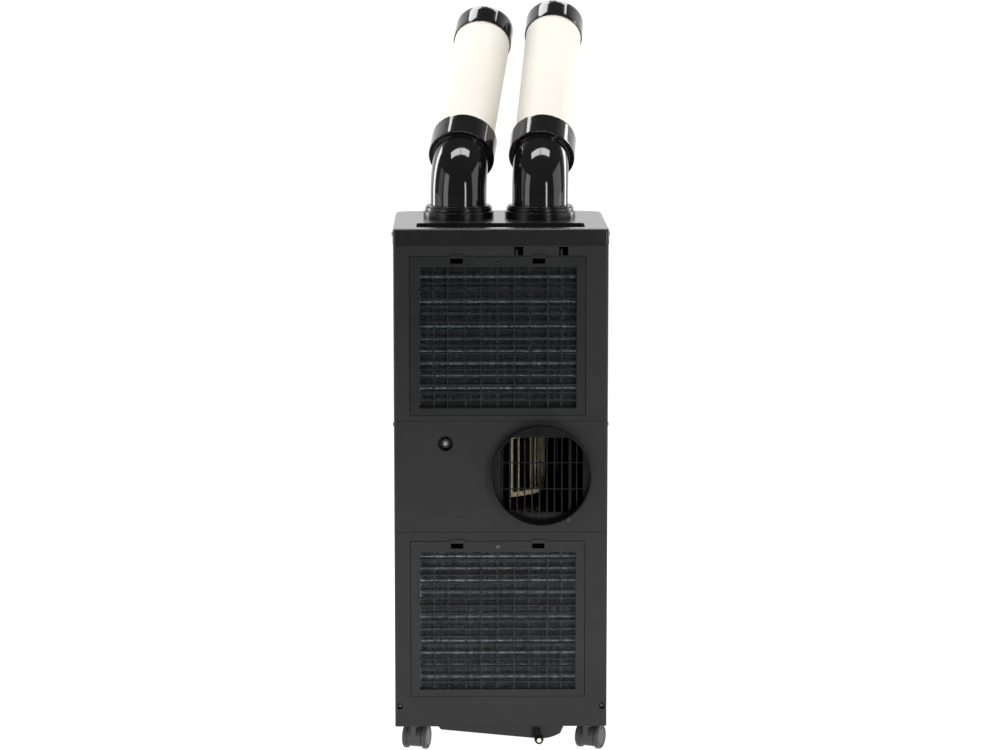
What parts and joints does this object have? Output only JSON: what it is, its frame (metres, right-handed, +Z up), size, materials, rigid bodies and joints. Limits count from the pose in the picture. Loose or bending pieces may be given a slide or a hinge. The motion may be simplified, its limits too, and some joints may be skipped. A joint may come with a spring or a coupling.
{
  "type": "portable air conditioner",
  "caption": "Tall free-standing spot cooler on castors, with swivelling elbow nozzles on top, rear intake grilles and a round rear exhaust collar.",
  "frame": {"origin": "on the floor, under the middle of the whole object's bounding box", "axes": "+Z up, +Y out of the rear face, so the front and the nozzles look along -Y and +X is the right-hand side seen from the front"},
  "size_m": [0.436, 0.7226, 1.5121],
  "materials": {
    "cabinet": "fine satin texture",
    "top_cover": "fine satin texture",
    "dark_plastic": "satin",
    "grille_plastic": "satin",
    "filter_mesh": "fine net in a moulded frame",
    "gloss_black": "polished",
    "ivory_tube": "semi-gloss",
    "impeller": "natural, slightly dusty",
    "coil": "bare fins",
    "copper": "drawn tube",
    "motor_steel": "enamel",
    "steel": "zinc plated",
    "zinc_sheet": "galvanised sheet",
    "black_screw": "black oxide",
    "rubber": "matt",
    "drain_black": "moulded",
    "drain_bung": "soft, satin",
    "caster_grey": "satin",
    "display": "smoked window",
    "button_grey": "satin"
  },
  "bodies": {
    "cabinet": {"base_pan": "zinc_sheet", "drain_tray": "cabinet", "drain_spout": "drain_black", "left_side_panel": "cabinet", "right_side_panel": "cabinet", "front_panel": "cabinet", "rear_panel_upper": "cabinet", "rear_panel_middle": "cabinet", "rear_panel_lower": "cabinet", "top_cover": "top_cover", "cabinet_screws": "black_screw", "exhaust_collar": "dark_plastic", "exhaust_guard": "dark_plastic", "blower_scroll": "dark_plastic", "fan_deck": "zinc_sheet", "fan_motor": "motor_steel", "cold_air_casing": "dark_plastic", "condenser_coil": "coil", "evaporator_coil": "coil", "compressor": "motor_steel", "compressor_feet": "rubber", "refrigerant_lines": "copper", "upper_drain_port": "dark_plastic", "control_panel": "gloss_black", "display_window": "display", "control_box": "dark_plastic", "nozzle_clip_rings": "gloss_black", "left_nozzle_collar": "gloss_black", "right_nozzle_collar": "gloss_black"},
    "blower_rotor": {"motor_shaft": "steel", "condenser_impeller": "impeller", "evaporator_impeller": "impeller"},
    "upper_intake": {"upper_grille": "grille_plastic", "upper_filter": "filter_mesh", "upper_grille_screw": "black_screw"},
    "lower_intake": {"lower_grille": "grille_plastic", "lower_filter": "filter_mesh", "lower_grille_screw": "black_screw"},
    "left_nozzle": {"left_nozzle_elbow": "gloss_black"},
    "left_tube": {"left_nozzle_tube": "ivory_tube", "left_nozzle_ring": "gloss_black"},
    "right_nozzle": {"right_nozzle_elbow": "gloss_black"},
    "right_tube": {"right_nozzle_tube": "ivory_tube", "right_nozzle_ring": "gloss_black"},
    "spout_bung": {"drain_cap": "drain_bung"},
    "upper_plug": {"upper_drain_plug": "rubber", "upper_drain_pin": "steel"},
    "power_key": {"power_button": "button_grey"},
    "mode_key": {"mode_button": "button_grey"},
    "fan_speed_key": {"fan_speed_button": "button_grey"},
    "temperature_key": {"temperature_button": "button_grey"},
    "rear_left_caster": {"rear_left_caster_housing": "caster_grey"},
    "rear_left_wheels": {"rear_left_caster_wheels": "caster_grey"},
    "rear_right_caster": {"rear_right_caster_housing": "caster_grey"},
    "rear_right_wheels": {"rear_right_caster_wheels": "caster_grey"},
    "front_left_caster": {"front_left_caster_housing": "caster_grey"},
    "front_left_wheels": {"front_left_caster_wheels": "caster_grey"},
    "front_right_caster": {"front_right_caster_housing": "caster_grey"},
    "front_right_wheels": {"front_right_caster_wheels": "caster_grey"}
  },
  "joints": [
    {"name": "blower_spin", "type": "hinge", "parent": "cabinet", "child": "blower_rotor", "pos_m": [0.035, 0.14627, 0.58], "axis": [0, 0, 1], "continuous": true},
    {"name": "upper_grille_tilt", "type": "hinge", "parent": "cabinet", "child": "upper_intake", "pos_m": [0.0065, 0.33527, 0.7058], "axis": [-1, 0, 0], "range_deg": [0, 35]},
    {"name": "lower_grille_tilt", "type": "hinge", "parent": "cabinet", "child": "lower_intake", "pos_m": [0.0065, 0.33527, 0.1282], "axis": [-1, 0, 0], "range_deg": [0, 35]},
    {"name": "left_nozzle_swivel", "type": "hinge", "parent": "cabinet", "child": "left_nozzle", "pos_m": [-0.084, 0.08977, 1.077], "axis": [0, 0, 1], "range_deg": [-172, 1.5]},
    {"name": "left_tube_slide", "type": "slide", "parent": "left_nozzle", "child": "left_tube", "axis": [-0.0828, -0.815, 0.5736], "range_m": [-0.029, 0.011]},
    {"name": "right_nozzle_swivel", "type": "hinge", "parent": "cabinet", "child": "right_nozzle", "pos_m": [0.084, 0.08977, 1.077], "axis": [0, 0, 1], "range_deg": [-1.5, 186]},
    {"name": "right_tube_slide", "type": "slide", "parent": "right_nozzle", "child": "right_tube", "axis": [-0.1183, -0.8106, 0.5736], "range_m": [-0.008, 0.032]},
    {"name": "spout_bung_pull", "type": "slide", "parent": "cabinet", "child": "spout_bung", "axis": [0, 1, 0], "range_m": [0, 0.02]},
    {"name": "upper_plug_pull", "type": "slide", "parent": "cabinet", "child": "upper_plug", "axis": [0, 1, 0], "range_m": [0, 0.025]},
    {"name": "power_press", "type": "slide", "parent": "cabinet", "child": "power_key", "axis": [0, 1, 0], "range_m": [0, 0.0012], "stiffness_N_per_m": 300},
    {"name": "mode_press", "type": "slide", "parent": "cabinet", "child": "mode_key", "axis": [0, 1, 0], "range_m": [0, 0.0012], "stiffness_N_per_m": 300},
    {"name": "fan_speed_press", "type": "slide", "parent": "cabinet", "child": "fan_speed_key", "axis": [0, 1, 0], "range_m": [0, 0.0012], "stiffness_N_per_m": 300},
    {"name": "temperature_press", "type": "slide", "parent": "cabinet", "child": "temperature_key", "axis": [0, 1, 0], "range_m": [0, 0.0012], "stiffness_N_per_m": 300},
    {"name": "rear_left_swivel", "type": "hinge", "parent": "cabinet", "child": "rear_left_caster", "pos_m": [-0.177, 0.29127, 0.061], "axis": [0, 0, 1], "continuous": true},
    {"name": "rear_left_roll", "type": "hinge", "parent": "rear_left_caster", "child": "rear_left_wheels", "pos_m": [-0.18475, 0.27502, 0.025], "axis": [0.9026, -0.4305, 0], "continuous": true},
    {"name": "rear_right_swivel", "type": "hinge", "parent": "cabinet", "child": "rear_right_caster", "pos_m": [0.177, 0.29127, 0.061], "axis": [0, 0, 1], "continuous": true},
    {"name": "rear_right_roll", "type": "hinge", "parent": "rear_right_caster", "child": "rear_right_wheels", "pos_m": [0.17204, 0.27396, 0.025], "axis": [0.9613, -0.2756, 0], "continuous": true},
    {"name": "front_left_swivel", "type": "hinge", "parent": "cabinet", "child": "front_left_caster", "pos_m": [-0.177, 0.00127, 0.061], "axis": [0, 0, 1], "continuous": true},
    {"name": "front_left_roll", "type": "hinge", "parent": "front_left_caster", "child": "front_left_wheels", "pos_m": [-0.18475, -0.01498, 0.025], "axis": [0.9026, -0.4305, 0], "continuous": true},
    {"name": "front_right_swivel", "type": "hinge", "parent": "cabinet", "child": "front_right_caster", "pos_m": [0.177, 0.00127, 0.061], "axis": [0, 0, 1], "continuous": true},
    {"name": "front_right_roll", "type": "hinge", "parent": "front_right_caster", "child": "front_right_wheels", "pos_m": [0.17204, -0.01604, 0.025], "axis": [0.9613, -0.2756, 0], "continuous": true}
  ]
}
